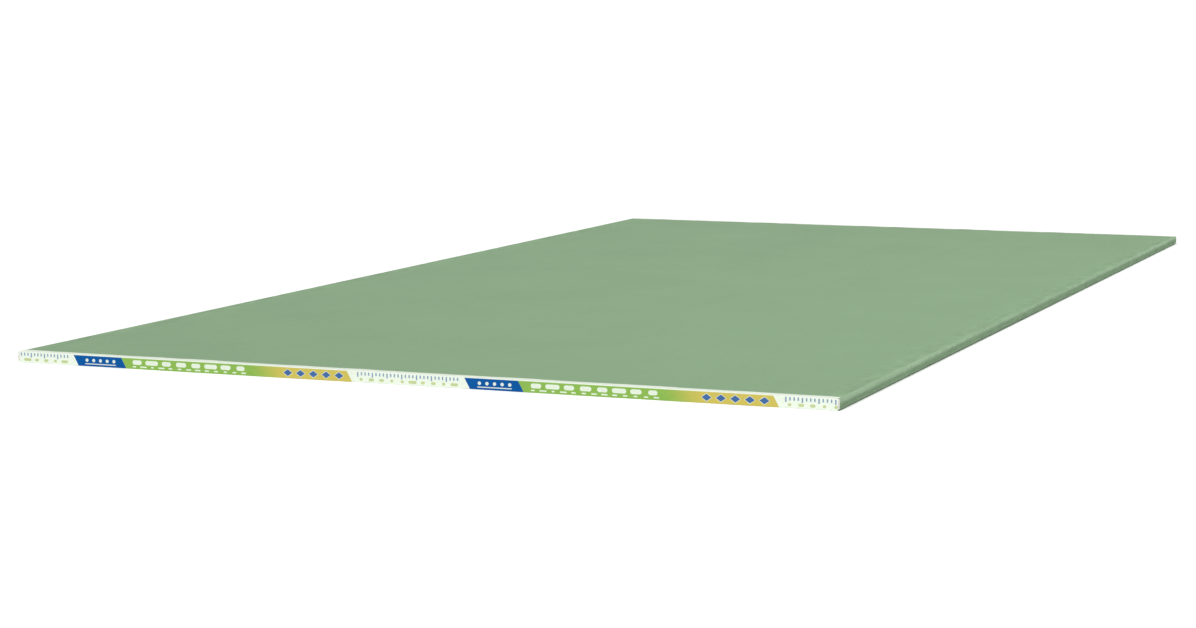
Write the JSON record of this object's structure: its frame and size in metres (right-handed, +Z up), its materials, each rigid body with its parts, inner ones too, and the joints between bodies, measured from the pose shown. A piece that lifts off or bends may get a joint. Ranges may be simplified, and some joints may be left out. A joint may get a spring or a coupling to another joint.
{
  "type": "gypsum wallboard sheet",
  "caption": "Flat sheet of paper-faced gypsum wallboard with tapered long edges, lying face down, with a printed paper tape folded over each cut end.",
  "frame": {"origin": "middle of the footprint, on the sheet's face, which lies on the floor", "axes": "+X across the sheet, +Y along its length, +Z up out of its flat back; the tapered face looks down"},
  "size_m": [1.2192, 2.4388, 0.0161],
  "materials": {
    "board_paper": "matte",
    "end_tape": "satin"
  },
  "bodies": {
    "root": {"gypsum_board": "board_paper", "front_end_tape": "end_tape", "rear_end_tape": "end_tape"}
  },
  "joints": []
}
